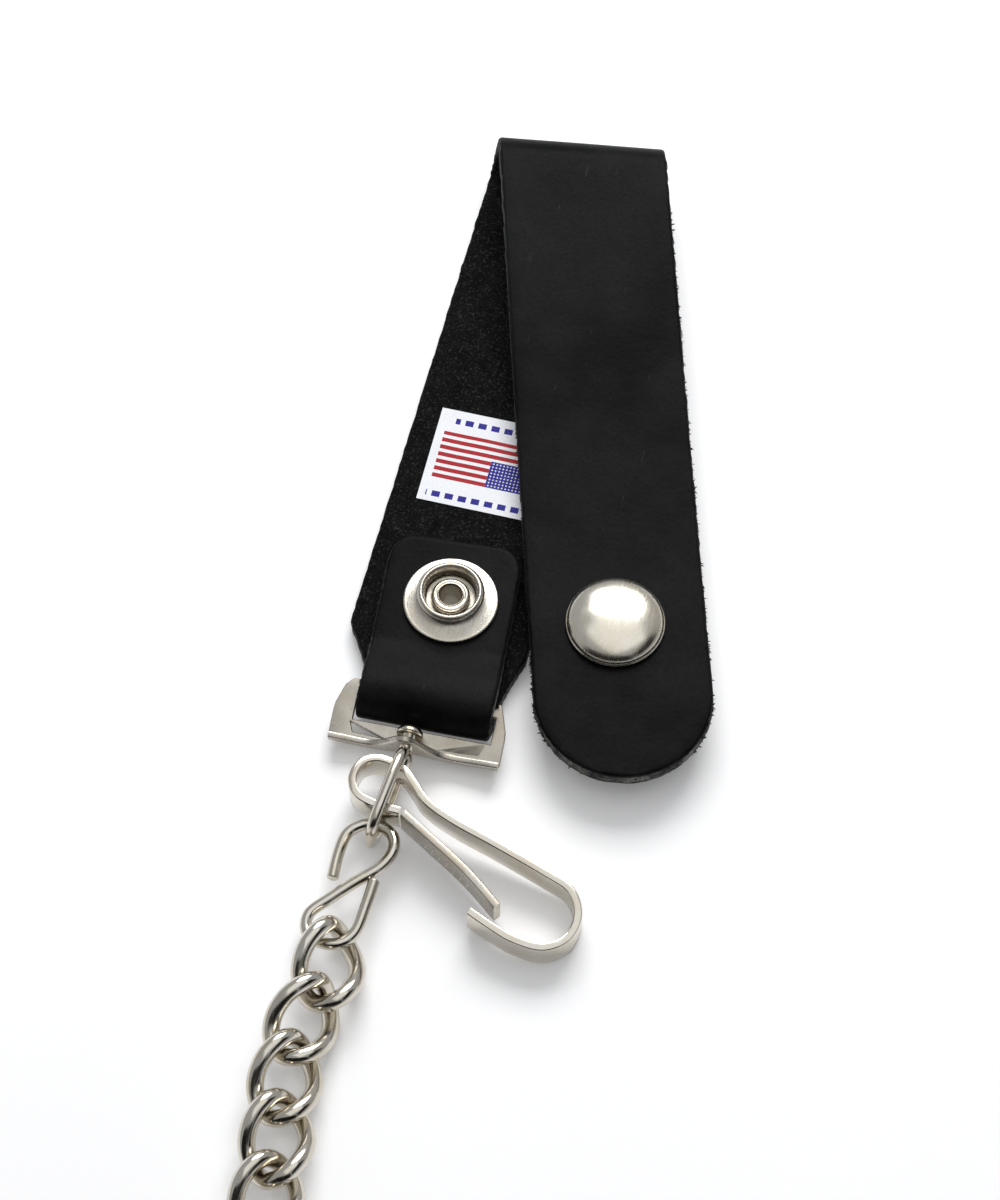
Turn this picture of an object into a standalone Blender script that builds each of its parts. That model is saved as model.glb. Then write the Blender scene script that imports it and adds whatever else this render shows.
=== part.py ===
"""Belt end of a wallet chain.

A folded leather strap closes over a belt with a ring snap. A stamped plate hangs in the strap's tongue and
carries a swivel eye. A spring clip and an open S-hook hang in the eye, and a curb chain hangs from the S-hook.
A second S-hook ends the chain. The whole lies on a table at z = 0.
"""

import math

import bmesh
import bpy
from mathutils import Matrix, Vector

MM = 0.001
# the shared frame starts on the table, under the middle of the rear leaf
FRAME_AT = Vector((0.0, 40.0, 0.0))

# leather strap, all in millimetres
LEATHER = 3.0
STRAP_HALF = 13.45
TONGUE_HALF = 10.25
FOLD_TURN = math.radians(8.35)
FOLD_MIDDLE = (-1.05, 87.0)
FOLD_INNER = 2.8
FLAP_LENGTH = 107.5
FLAP_LOW = 4.2
FLAP_SETTLE = 74.0
SHOULDER_TOP = -4.5
LEAF_LEFT = -14.7
LEAF_RIGHT = 13.1
SHOULDER_FOOT = -15.5

# bend of the tongue round the bar
BEND_CENTRE = (0.5, -16.4, 4.1)
BEND_INNER = 1.1
TONGUE_LEAN = math.radians(4.0)
TONGUE_END = 27.2
TONGUE_REST = 3.3

# snap
STUD_SEAT = TONGUE_REST + LEATHER + 0.3
SNAP_DISTANCE = 83.1
SNAP_SIDE = -0.4

# plate
PLATE_HALF = 13.0
PLATE_SHIFT = -0.6
PLATE_THICK = 1.2
PLATE_TILT = math.radians(14.0)
PLATE_FOOT = -24.0
PLATE_TOP = -15.4
PLATE_WIDE = 13.2
SLOT_LEFT = -10.0
SLOT_RIGHT = 11.2
SLOT_TOP = -16.9
SLOT_FOOT = -21.0
SLIT_TOP = -21.4
SLIT_FOOT = -23.1
LIP_THICK = 1.1
LIP_RISE = 4.4
LIP_SWELL = 3.3

# swivel
POST_X = -0.6
POST_Z = 5.5
HEAD_SEAT = -22.95
EYE_WIRE = 1.7
EYE_TOP = -26.6
EYE_FOOT = -40.4
EYE_HALF = 4.6

# clip strip
CLIP_THICK = 1.25
CLIP_HEIGHT = 5.2
CLIP_RING = (-2.8, -31.8)
CLIP_PIVOT = (-1.2, -32.0, 5.5)
GATE_PIVOT = (1.9, -36.1, 5.5)
CLIP_LIFT = 3.0
CLIP_FALL = 2.8
CLIP_LENGTH = 34.0

# wire hooks and chain
HOOK_WIRE = 1.8
HOOK_Z = 4.0
HOOK_MIDDLE = (-2.8, -47.1)
HOOK_ROLL = 0.15
HOOK_SHAPE = ((-6.1, -47.2), (-6.3, -43.0), (-5.8, -39.6), (-3.6, -37.8), (-1.0, -37.8), (1.0, -39.1))
HOOK_TURN_SHAPE = ((1.6, -41.4), (0.4, -44.2), (-2.7, -47.2), (-5.6, -50.3), (-8.0, -53.2), (-7.6, -56.1))
HOOK_FOOT_SHAPE = ((-5.4, -57.3), (-2.6, -57.1), (-0.6, -55.0), (-0.1, -50.5), (0.1, -46.4))
LINK_WIRE = 2.7
LINK_LENGTH = 14.85
LINK_WIDTH = 11.2
LINK_PITCH = 9.05
LINK_Z = 3.85
HOOK_PIVOT = (-1.8, -37.8, 4.0)
FIRST_PIVOT = (-3.3, -56.6, LINK_Z)
LINK_TWIST = math.radians(45.0)
# each near link lies at (x, y, z), with its heading and its roll about the chain's axis in degrees
LINK_STARTS = (
    (-3.0, -60.6, 4.0, 8.0, 18.0),
    (-4.3, -69.55, 4.0, -10.0, 24.0),
    (-4.45, -78.65, 4.0, 2.0, 17.0),
    (-3.3, -87.6, 3.95, 9.0, 8.0),
    (-2.3, -96.6, 3.85, 6.0, 2.0),
)
TAIL_LINKS = 11
TAIL_TURN = math.radians(11.0)


def clear_scene():
    for ob in list(bpy.data.objects):
        bpy.data.objects.remove(ob, do_unlink=True)


def material(name, color, metallic, roughness):
    m = bpy.data.materials.new(name)
    m.use_nodes = True
    shader = m.node_tree.nodes["Principled BSDF"]
    shader.inputs["Base Color"].default_value = (*color, 1.0)
    shader.inputs["Metallic"].default_value = metallic
    shader.inputs["Roughness"].default_value = roughness
    m.diffuse_color = (*color, 1.0)
    return m


def add_object(name, verts, faces, mat, origin=(0.0, 0.0, 0.0), smooth=False):
    """Verts and origin are in millimetres, measured from the point on the table under the snap stud."""
    o = Vector(origin)
    mesh = bpy.data.meshes.new(name)
    mesh.from_pydata([(Vector(v) - o) * MM for v in verts], [], faces)
    bm = bmesh.new()
    bm.from_mesh(mesh)
    bmesh.ops.remove_doubles(bm, verts=bm.verts, dist=1e-7)
    bmesh.ops.recalc_face_normals(bm, faces=bm.faces)
    bm.to_mesh(mesh)
    bm.free()
    mesh.materials.append(mat)
    for face in mesh.polygons:
        face.use_smooth = smooth
    ob = bpy.data.objects.new(name, mesh)
    ob.location = (o - FRAME_AT) * MM
    bpy.context.scene.collection.objects.link(ob)
    return ob


def loft(rows, closed=False):
    """Rows of points round one section each, joined in order. An open loft gets an end face at each end."""
    n = len(rows[0])
    verts = [p for row in rows for p in row]
    faces = []
    count = len(rows)
    for i in range(count if closed else count - 1):
        j = (i + 1) % count
        for k in range(n):
            m = (k + 1) % n
            faces.append((i * n + k, i * n + m, j * n + m, j * n + k))
    if not closed:
        faces.append(tuple(range(n)))
        faces.append(tuple((count - 1) * n + k for k in range(n)))
    return verts, faces


def lathe(profile, sides, centre, axis="Z"):
    """A closed outline of (radius, height) turned about the axis. A radius of 0 makes a pole."""
    rows = []
    for i in range(sides):
        a = 2.0 * math.pi * i / sides
        row = []
        for r, h in profile:
            p = Vector((r * math.cos(a), r * math.sin(a), h))
            if axis == "Y":
                p = Vector((p.x, p.z, -p.y))
            row.append(p + Vector(centre))
        rows.append(row)
    return loft(rows, closed=True)


def smooth_path(points, steps, closed=False):
    """A Catmull-Rom curve through the points."""
    pts = [Vector(p) for p in points]
    n = len(pts)
    out = []
    for i in range(n if closed else n - 1):
        if closed:
            a, b, c, d = (pts[(i + k) % n] for k in (-1, 0, 1, 2))
        else:
            a, b, c, d = (pts[min(max(i + k, 0), n - 1)] for k in (-1, 0, 1, 2))
        for s in range(steps):
            t = s / steps
            bend = (2 * a - 5 * b + 4 * c - d) * t * t
            twist = (3 * b - a - 3 * c + d) * t**3
            out.append(0.5 * (2 * b + (c - a) * t + bend + twist))
    if not closed:
        out.append(pts[-1])
    return out


def wire(path, radius, sides, closed=False):
    """A round wire along a path, with its section carried along without twisting."""
    n = len(path)
    tangents = []
    for i in range(n):
        if closed:
            t = path[(i + 1) % n] - path[i - 1]
        else:
            t = path[min(i + 1, n - 1)] - path[max(i - 1, 0)]
        tangents.append(t.normalized())
    start = Vector((0, 0, 1)) if abs(tangents[0].z) < 0.9 else Vector((1, 0, 0))
    side = tangents[0].cross(start).normalized()
    sides_at = [side]
    for i in range(1, n):
        side = tangents[i - 1].rotation_difference(tangents[i]) @ side
        sides_at.append(side)
    drift = 0.0
    if closed:
        last = tangents[-1].rotation_difference(tangents[0]) @ side
        first = sides_at[0]
        drift = math.atan2(last.cross(first).dot(tangents[0]), last.dot(first))
    rows = []
    for i in range(n):
        u = Matrix.Rotation(drift * i / n, 3, tangents[i]) @ sides_at[i]
        v = tangents[i].cross(u)
        row = []
        for k in range(sides):
            a = 2.0 * math.pi * k / sides
            row.append(path[i] + radius * (math.cos(a) * u + math.sin(a) * v))
        rows.append(row)
    return loft(rows, closed)


def ease(x):
    x = min(max(x, 0.0), 1.0)
    return x * x * (3.0 - 2.0 * x)


# ---------------------------------------------------------------- strap

# the strap folds about a line turned a little from X, so the flap lies turned by twice as much
FOLD_ALONG = Vector((math.cos(FOLD_TURN), math.sin(FOLD_TURN), 0.0))
FOLD_ACROSS = Vector((-math.sin(FOLD_TURN), math.cos(FOLD_TURN), 0.0))
FOLD_AT = Vector((FOLD_MIDDLE[0], FOLD_MIDDLE[1], 0.0))
FOLD_OUTER = FOLD_INNER + LEATHER
FOLD_ARC = math.pi * (FOLD_INNER + LEATHER / 2.0)
FOLD_START = FOLD_AT - FOLD_ACROSS * FOLD_OUTER
STRAP_DIRECTION = (math.sin(FOLD_TURN), math.cos(FOLD_TURN))


def strap_limits(s):
    """The strap's left and right edge along the fold line, at distance s along the flat strip from the fold."""
    middle = s * STRAP_DIRECTION[0] / STRAP_DIRECTION[1]
    half = STRAP_HALF / STRAP_DIRECTION[1]
    left, right = middle - half, middle + half
    end = FOLD_ARC + FLAP_LENGTH
    # the rounded end is a circle about a point on the strip's middle line
    reach = end - STRAP_HALF
    centre = reach * STRAP_DIRECTION[0] / STRAP_DIRECTION[1]
    if s > reach - STRAP_HALF * STRAP_DIRECTION[0]:
        span = math.sqrt(max(STRAP_HALF**2 - (s - reach) ** 2, 0.4))
        if s > reach + STRAP_HALF * STRAP_DIRECTION[0]:
            return centre - span, centre + span
        return left, centre + span
    return left, right


def flap_height(d):
    """Height of the flap's underside at distance d from the fold."""
    return FLAP_LOW + (FOLD_OUTER + FOLD_INNER - FLAP_LOW) * (1.0 - ease(d / FLAP_SETTLE))


def strap_point(s, u, depth):
    """A point of the folded strap. Depth 0 is the grain side and 1 the flesh side."""
    if s <= FOLD_ARC:
        a = max(s, 0.0) / (FOLD_INNER + LEATHER / 2.0)
        r = FOLD_OUTER - LEATHER * depth
        w = min(s, 0.0) + r * math.sin(a)
        z = FOLD_OUTER - r * math.cos(a)
        return FOLD_START + FOLD_ALONG * u + FOLD_ACROSS * w + Vector((0, 0, z))
    d = s - FOLD_ARC
    slope = (flap_height(d + 0.5) - flap_height(d - 0.5)) if d > 0.5 else 0.0
    tilt = Vector((0.0, slope, 1.0)).normalized()
    z = flap_height(d)
    lift = LEATHER * (1.0 - depth)
    w = -d + lift * tilt.y
    return FOLD_START + FOLD_ALONG * u + FOLD_ACROSS * w + Vector((0, 0, z + lift * tilt.z))


def strap_row(s):
    left, right = strap_limits(s)
    middle = (left + right) / 2.0
    top = [strap_point(s, u, 0.0) for u in (left, middle, right)]
    under = [strap_point(s, u, 1.0) for u in (right, middle, left)]
    return top + under


def steps_between(a, b, count):
    return [a + (b - a) * i / count for i in range(count + 1)]


def add_strap_fold(mat):
    rows = [strap_row(s) for s in steps_between(0.15, FOLD_ARC - 0.15, 12)]
    verts, faces = loft(rows)
    return add_object("strap_fold", verts, faces, mat, FOLD_HINGE, smooth=True)


def add_strap_flap(mat):
    end = FOLD_ARC + FLAP_LENGTH
    reach = end - STRAP_HALF
    stops = steps_between(FOLD_ARC + 0.15, reach - 3.0, 14)
    stops += [reach + STRAP_HALF * math.sin(math.radians(a)) for a in (-8, 8, 22, 36, 50, 62, 72, 80, 86)]
    rows = [strap_row(s) for s in stops]
    verts, faces = loft(rows)
    return add_object("strap_flap", verts, faces, mat, FOLD_HINGE, smooth=True)


def leaf_edges(y):
    """Left and right edge of the rear leaf, which narrows at concave shoulders to the tongue's width."""
    if y > SHOULDER_TOP:
        left, right = strap_limits(0.0)
        top_left = FOLD_START + FOLD_ALONG * left
        top_right = FOLD_START + FOLD_ALONG * right
        a = (y - SHOULDER_TOP) / (top_left.y - SHOULDER_TOP)
        b = (y - SHOULDER_TOP) / (top_right.y - SHOULDER_TOP)
        return LEAF_LEFT + (top_left.x - LEAF_LEFT) * a, LEAF_RIGHT + (top_right.x - LEAF_RIGHT) * b
    t = min((SHOULDER_TOP - y) / (SHOULDER_TOP - SHOULDER_FOOT), 1.0)
    narrow = math.sin(t * math.pi / 2.0) ** 1.2
    left = LEAF_LEFT + (BEND_CENTRE[0] - TONGUE_HALF - LEAF_LEFT) * narrow
    right = LEAF_RIGHT + (BEND_CENTRE[0] + TONGUE_HALF - LEAF_RIGHT) * narrow
    return left, right


def tongue_height(d):
    """Height of the tongue's flesh side at distance d from the bend."""
    top = BEND_CENTRE[2] + BEND_INNER
    return TONGUE_REST + (top - TONGUE_REST) * (1.0 - ease(d / 9.0))


def add_strap_back(mat):
    """The rear leaf on the table, and the tongue that comes up round the bar and lies on it."""
    rows = []
    half_turn = TONGUE_LEAN / 2.0
    # along the leaf, from the fold down to the bend
    left, right = strap_limits(0.0)
    first = [FOLD_START + FOLD_ALONG * u - FOLD_ACROSS * 0.15 for u in (left, (left + right) / 2.0, right)]
    rows.append(([Vector((p.x, p.y, 0.0)) for p in first], [Vector((p.x, p.y, LEATHER)) for p in first]))
    for y in (60.0, 40.0, 20.0, 0.0, -4.5, -7.0, -9.5, -12.0, -14.0, -15.5):
        left, right = leaf_edges(y)
        xs = (left, (left + right) / 2.0, right)
        rows.append(([Vector((x, y, 0.0)) for x in xs], [Vector((x, y, LEATHER)) for x in xs]))
    # round the bar
    along = Vector((math.cos(half_turn), math.sin(half_turn), 0.0))
    across = Vector((-math.sin(half_turn), math.cos(half_turn), 0.0))
    centre = Vector(BEND_CENTRE)
    for i in range(9):
        a = math.pi * i / 8.0
        points = []
        for r in (BEND_INNER + LEATHER, BEND_INNER):
            middle = centre - across * (r * math.sin(a)) + Vector((0, 0, -r * math.cos(a)))
            slide = along * (-math.tan(half_turn) * r * math.sin(a))
            points.append([middle + slide + along * u for u in (-TONGUE_HALF, 0.0, TONGUE_HALF)])
        rows.append((points[0], points[1]))
    # up the front
    up = Vector((-math.sin(TONGUE_LEAN), math.cos(TONGUE_LEAN), 0.0))
    side = Vector((math.cos(TONGUE_LEAN), math.sin(TONGUE_LEAN), 0.0))
    for d in (1.5, 3.0, 4.5, 6.0, 7.5, 9.0, 16.0, 23.0, 24.6, 25.8, 26.7, TONGUE_END):
        back = max(d - (TONGUE_END - 4.2), 0.0)
        half = TONGUE_HALF - 4.2 + math.sqrt(max(4.2**2 - back**2, 0.0))
        z = tongue_height(d)
        slope = tongue_height(d + 0.3) - tongue_height(d - 0.3)
        lean = Vector((0.0, -slope / 0.6, 1.0)).normalized()
        base = centre + up * d
        base.z = z
        grain = [base + side * u + lean * LEATHER for u in (-half, 0.0, half)]
        flesh = [base + side * u for u in (-half, 0.0, half)]
        rows.append((grain, flesh))
    loops = [grain + list(reversed(flesh)) for grain, flesh in rows]
    verts, faces = loft(loops)
    return add_object("strap_back", verts, faces, mat, smooth=True)


def combine(target, name, verts, faces, mat, operation):
    """Cuts a closed shape out of a piece, or joins it on."""
    cutter = add_object(name, verts, faces, mat)
    cutter.hide_render = True
    cutter.display_type = "WIRE"
    mod = target.modifiers.new(name, "BOOLEAN")
    mod.operation = operation
    mod.solver = "EXACT"
    mod.object = cutter
    return cutter


# ---------------------------------------------------------------- snap

FLAP_DOWN = Vector((math.sin(2 * FOLD_TURN), -math.cos(2 * FOLD_TURN), 0.0))
FLAP_RIGHT = Vector((math.cos(2 * FOLD_TURN), math.sin(2 * FOLD_TURN), 0.0))
FOLD_HINGE = tuple(FOLD_START + Vector((0, 0, FOLD_OUTER)))


def snap_centre():
    middle = FOLD_START + FLAP_DOWN * SNAP_DISTANCE + FLAP_RIGHT * SNAP_SIDE
    # the strip's middle line slides along the fold while it goes round
    slide = FOLD_ARC * STRAP_DIRECTION[0] / STRAP_DIRECTION[1]
    return middle + FOLD_ALONG * slide


def add_snap(steel):
    at = snap_centre()
    top = FLAP_LOW + LEATHER + 0.3
    dome = [(0.0, top + 3.0), (2.4, top + 2.82), (4.6, top + 2.2), (6.3, top + 1.2), (7.3, top + 0.35)]
    dome += [(7.55, top)]
    post = [(6.9, top), (1.6, top), (1.5, 1.5), (0.0, 1.5)]
    verts, faces = lathe(dome + post, 32, (at.x, at.y, 0.0))
    add_object("snap_cap", verts, faces, steel, FOLD_HINGE, smooth=True)
    socket = [(1.9, 3.9), (6.4, 3.9), (6.5, 3.4), (6.0, 0.4), (5.6, 0.0), (5.3, 0.3), (5.5, 1.0)]
    socket += [(5.9, 1.5), (5.5, 2.1), (5.5, 3.1), (2.1, 3.1), (2.1, 2.4), (1.9, 2.4)]
    verts, faces = lathe(socket, 32, (at.x, at.y, 0.0))
    add_object("snap_socket", verts, faces, steel, FOLD_HINGE, smooth=True)
    seat = STUD_SEAT
    stud = [(2.5, seat + 0.1), (7.1, seat), (7.25, seat + 0.3), (7.1, seat + 0.55), (5.3, seat + 0.8)]
    stud += [(4.35, seat + 1.5), (4.6, seat + 2.1), (5.1, seat + 2.6), (5.15, seat + 3.0), (4.8, seat + 3.5)]
    stud += [(4.4, seat + 3.6), (4.1, seat + 3.2), (3.9, seat + 2.0), (3.85, seat + 0.9), (2.5, seat + 0.75)]
    verts, faces = lathe(stud, 32, (0.0, 0.0, 0.0))
    add_object("snap_stud", verts, faces, steel, smooth=True)
    eyelet = [(1.8, 0.1), (5.0, 0.1), (5.0, 0.6), (2.2, 0.6), (2.2, seat + 1.05), (2.85, seat + 1.1)]
    eyelet += [(2.95, seat + 1.5), (2.6, seat + 1.95), (2.1, seat + 1.9), (1.8, seat + 1.4)]
    verts, faces = lathe(eyelet, 32, (0.0, 0.0, 0.0))
    add_object("snap_eyelet", verts, faces, steel, smooth=True)
    return at


# ---------------------------------------------------------------- plate and swivel


def plate_place(x, y, up):
    """A point of the plate, which hangs down a little from the bar."""
    cx, cy, cz = BEND_CENTRE
    out = (y - cy) * math.cos(PLATE_TILT) - up * math.sin(PLATE_TILT)
    high = (y - cy) * math.sin(PLATE_TILT) + up * math.cos(PLATE_TILT)
    p = Matrix.Rotation(TONGUE_LEAN / 2.0, 3, "Z") @ Vector((x, out, 0.0))
    return Vector((p.x + cx + PLATE_SHIFT, p.y + cy, cz + high))


def prism(shape, low, high):
    """A flat outline on the plate, given thickness."""
    n = len(shape)
    verts = [plate_place(x, y, up) for up in (low, high) for x, y in shape]
    faces = [tuple(range(n)), tuple(n + k for k in range(n))]
    faces += [(k, (k + 1) % n, n + (k + 1) % n, n + k) for k in range(n)]
    return verts, faces


def add_plate(steel):
    """A stamped plate with a slot for the tongue, two small side slits, and a lip that swells into a boss."""
    half = PLATE_THICK / 2.0
    # the wings stand a little above the bar, clear of the tongue's sides
    wing = [(PLATE_WIDE, PLATE_TOP - 4.6), (PLATE_WIDE - 0.5, PLATE_TOP - 2.2)]
    wing += [(PLATE_WIDE - 1.1, PLATE_TOP - 0.4)]
    peak = PLATE_TOP + 0.7
    outline = [(-PLATE_WIDE, PLATE_FOOT), (PLATE_WIDE, PLATE_FOOT)] + wing
    outline += [(SLOT_RIGHT + 0.5, peak), (SLOT_RIGHT, peak), (SLOT_RIGHT, PLATE_TOP)]
    outline += [(SLOT_LEFT, PLATE_TOP), (SLOT_LEFT, peak), (SLOT_LEFT - 1.0, peak)]
    outline += [(-x, y) for x, y in reversed(wing)]
    verts, faces = prism(outline, -half, half)
    plate = add_object("loop_plate", verts, faces, steel, BEND_CENTRE)

    # the lip stands along the foot
    rows = []
    for i in range(19):
        x = -PLATE_HALF + 2.0 * PLATE_HALF * i / 18.0
        swell = math.exp(-(((x - (POST_X - BEND_CENTRE[0])) / LIP_SWELL) ** 2))
        wave = 0.35 * math.cos(math.pi * i / 4.5)
        fall = -half - 0.35 + wave * (1.0 - swell)
        rise = half + 0.5 + wave * (1.0 - swell) + LIP_RISE * swell
        front = PLATE_FOOT + 0.45 + 0.2 * swell
        back = PLATE_FOOT - LIP_THICK + 0.45
        shift = 0.6 * swell
        rows.append(
            [
                plate_place(x, front, fall),
                plate_place(x, back, fall),
                plate_place(x, back + shift, rise),
                plate_place(x, front + shift, rise),
            ]
        )
    lip_verts, lip_faces = loft(rows)
    combine(plate, "add_lip", lip_verts, lip_faces, steel, "UNION")
    slot = [(SLOT_LEFT, SLOT_FOOT), (SLOT_RIGHT, SLOT_FOOT), (SLOT_RIGHT, SLOT_TOP), (SLOT_LEFT, SLOT_TOP)]
    slit = [(-10.2, SLIT_TOP), (-9.6, SLIT_FOOT + 0.2), (-4.9, SLIT_FOOT)]
    mirrored = [(-x, y) for x, y in reversed(slit)]
    for name, shape in (("cut_slot", slot), ("cut_slit_left", slit), ("cut_slit_right", mirrored)):
        verts, faces = prism(shape, -3.0, 3.0)
        combine(plate, name, verts, faces, steel, "DIFFERENCE")
    bore = [(0.0, -22.0), (1.4, -22.0), (1.4, -28.0), (0.0, -28.0)]
    verts, faces = lathe(bore, 20, (POST_X, 0.0, POST_Z), axis="Y")
    combine(plate, "cut_post_bore", verts, faces, steel, "DIFFERENCE")
    return plate


def add_swivel(steel):
    """Domed head, post through the boss, and a tall eye that hangs from it."""
    foot = HEAD_SEAT
    loop = []
    middle = Vector((POST_X, 0.0, POST_Z))
    span = (EYE_TOP - EYE_FOOT) / 2.0
    centre_y = (EYE_TOP + EYE_FOOT) / 2.0
    for i in range(28):
        a = 2.0 * math.pi * i / 28.0
        c = math.cos(a)
        s = math.sin(a)
        y = centre_y + span * math.copysign(abs(c) ** 0.6, c)
        z = middle.z + EYE_HALF * math.copysign(abs(s) ** 0.6, s)
        x = POST_X - 0.10 * (EYE_TOP - y) + 0.06 * (z - middle.z)
        loop.append(Vector((x, y, z)))
    verts, faces = wire(loop, EYE_WIRE / 2.0, 8, closed=True)
    eye = add_object("swivel_eye", verts, faces, steel, tuple(middle + Vector((0, foot, 0))), smooth=True)
    profile = [(0.0, foot + 1.6), (1.1, foot + 1.35), (1.9, foot + 0.7), (2.05, foot), (1.0, foot)]
    profile += [(1.0, EYE_TOP + 1.15), (0.0, EYE_TOP + 1.15)]
    verts, faces = lathe(profile, 16, (middle.x, 0.0, middle.z), axis="Y")
    post = add_object("swivel_post", verts, faces, steel, tuple(middle + Vector((0, foot, 0))), smooth=True)
    return eye, post


# ---------------------------------------------------------------- clip


def clip_place(x, y, up):
    """The clip leans: its ring rides on the eye's lower strand, and its nose rests on the table."""
    along = math.hypot(x - CLIP_RING[0], y - CLIP_RING[1])
    base = CLIP_LIFT - CLIP_FALL * min(along / CLIP_LENGTH, 1.05)
    return Vector((x, y, base + up))


def strip(path, closed=False):
    """A flat strip standing on edge along a path of (x, y)."""
    pts = [Vector((p[0], p[1], 0.0)) for p in path]
    n = len(pts)
    rows = []
    for i in range(n):
        if closed:
            t = (pts[(i + 1) % n] - pts[i - 1]).normalized()
        else:
            t = (pts[min(i + 1, n - 1)] - pts[max(i - 1, 0)]).normalized()
        side = Vector((-t.y, t.x, 0.0)) * (CLIP_THICK / 2.0)
        a, b = pts[i] + side, pts[i] - side
        rows.append(
            [
                clip_place(a.x, a.y, 0.0),
                clip_place(b.x, b.y, 0.0),
                clip_place(b.x, b.y, CLIP_HEIGHT),
                clip_place(a.x, a.y, CLIP_HEIGHT),
            ]
        )
    return loft(rows, closed)


def add_clip(steel):
    """One strip: a ring round the eye, the long leg, the nose and its tip. The gate is its sprung end."""
    ring = [(1.3, -36.0), (-1.8, -35.9), (-5.2, -35.0), (-6.8, -32.6), (-6.2, -29.8), (-3.6, -28.5)]
    leg = [(0.0, -29.3), (2.4, -31.3), (4.9, -33.6), (9.5, -35.5), (16.0, -37.3), (24.0, -39.7)]
    nose = [(28.4, -41.4), (30.3, -44.7), (29.6, -48.7), (26.4, -51.0), (22.0, -50.9)]
    nose += [(18.2, -49.7), (14.9, -48.4)]
    path = smooth_path([(x, y, 0.0) for x, y in ring + leg + nose], 3)
    verts, faces = strip(path)
    add_object("clip_body", verts, faces, steel, CLIP_PIVOT)
    gate = [(1.9, -36.2), (6.2, -38.6), (12.8, -42.4), (18.6, -46.6)]
    path = smooth_path([(x, y, 0.0) for x, y in gate], 3)
    verts, faces = strip(path)
    add_object("clip_gate", verts, faces, steel, GATE_PIVOT)


# ---------------------------------------------------------------- hooks and chain


def add_hook(name, steel, middle, turn, origin):
    """An open S of round wire."""
    shape = HOOK_SHAPE + HOOK_TURN_SHAPE + HOOK_FOOT_SHAPE
    cx, cy = HOOK_MIDDLE
    local = [Vector((x - cx, y - cy, HOOK_ROLL * (x - cx))) for x, y in shape]
    rot = Matrix.Rotation(turn, 3, "Z")
    path = [rot @ p + Vector(middle) for p in smooth_path(local, 2)]
    verts, faces = wire(path, HOOK_WIRE / 2.0, 8)
    return add_object(name, verts, faces, steel, origin, smooth=True)


def link_path(centre, heading, roll=0.0, around=20):
    """The oval of one curb link, twisted about the chain's axis."""
    half_long = (LINK_LENGTH - LINK_WIRE) / 2.0
    half_wide = (LINK_WIDTH - LINK_WIRE) / 2.0
    turn = Matrix.Rotation(heading, 3, "Z")
    out = []
    for i in range(around):
        a = 2.0 * math.pi * i / around
        y = half_long * math.sin(a)
        x = half_wide * math.copysign(abs(math.cos(a)) ** 0.85, math.cos(a))
        twist = Matrix.Rotation(roll + LINK_TWIST * y / half_long, 3, "Y")
        p = twist @ Vector((x, 0.0, 0.0)) + Vector((0.0, y, 0.0))
        out.append(turn @ p + Vector(centre))
    return out


def link_places():
    """Centre, heading and roll of every link, the near ones first and then the tail as it curls away."""
    places = []
    for x, y, z, heading, roll in LINK_STARTS:
        places.append((Vector((x, y, z)), math.radians(heading), math.radians(roll)))
    at = places[-1][0].copy()
    course = places[-1][1] - math.pi / 2.0
    for i in range(TAIL_LINKS - 2):
        step = TAIL_TURN if i > 0 else 0.0
        course += step
        at = at + LINK_PITCH * Vector((math.cos(course), math.sin(course), 0.0))
        places.append((at.copy(), course + math.pi / 2.0 + TAIL_TURN / 2.0, 0.0))
    # the last three links and the far hook are laid out as the first three and the near hook are, turned round
    anchor = places[2]
    here = places[-1]
    turn = here[1] - anchor[1] + math.pi
    spin = Matrix.Rotation(turn, 3, "Z")
    base = here[0].copy()
    base.z = anchor[0].z
    places[-2] = (places[-2][0], places[-2][1], -places[3][2])
    places[-1] = (base, here[1], -anchor[2])
    for near in (places[1], places[0]):
        placed = base + spin @ (near[0] - anchor[0])
        places.append((placed, near[1] + turn - math.pi, -near[2]))
    return places


def add_chain(steel):
    """Each link turns about the middle of its grip on the link before it."""
    places = link_places()
    for i, (centre, heading, roll) in enumerate(places):
        verts, faces = wire(link_path(centre, heading, roll), LINK_WIRE / 2.0, 6, closed=True)
        pivot = Vector(FIRST_PIVOT) if i == 0 else (centre + places[i - 1][0]) / 2.0
        add_object("link_%02d" % (i + 1), verts, faces, steel, tuple(pivot), smooth=True)
    return places


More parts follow.
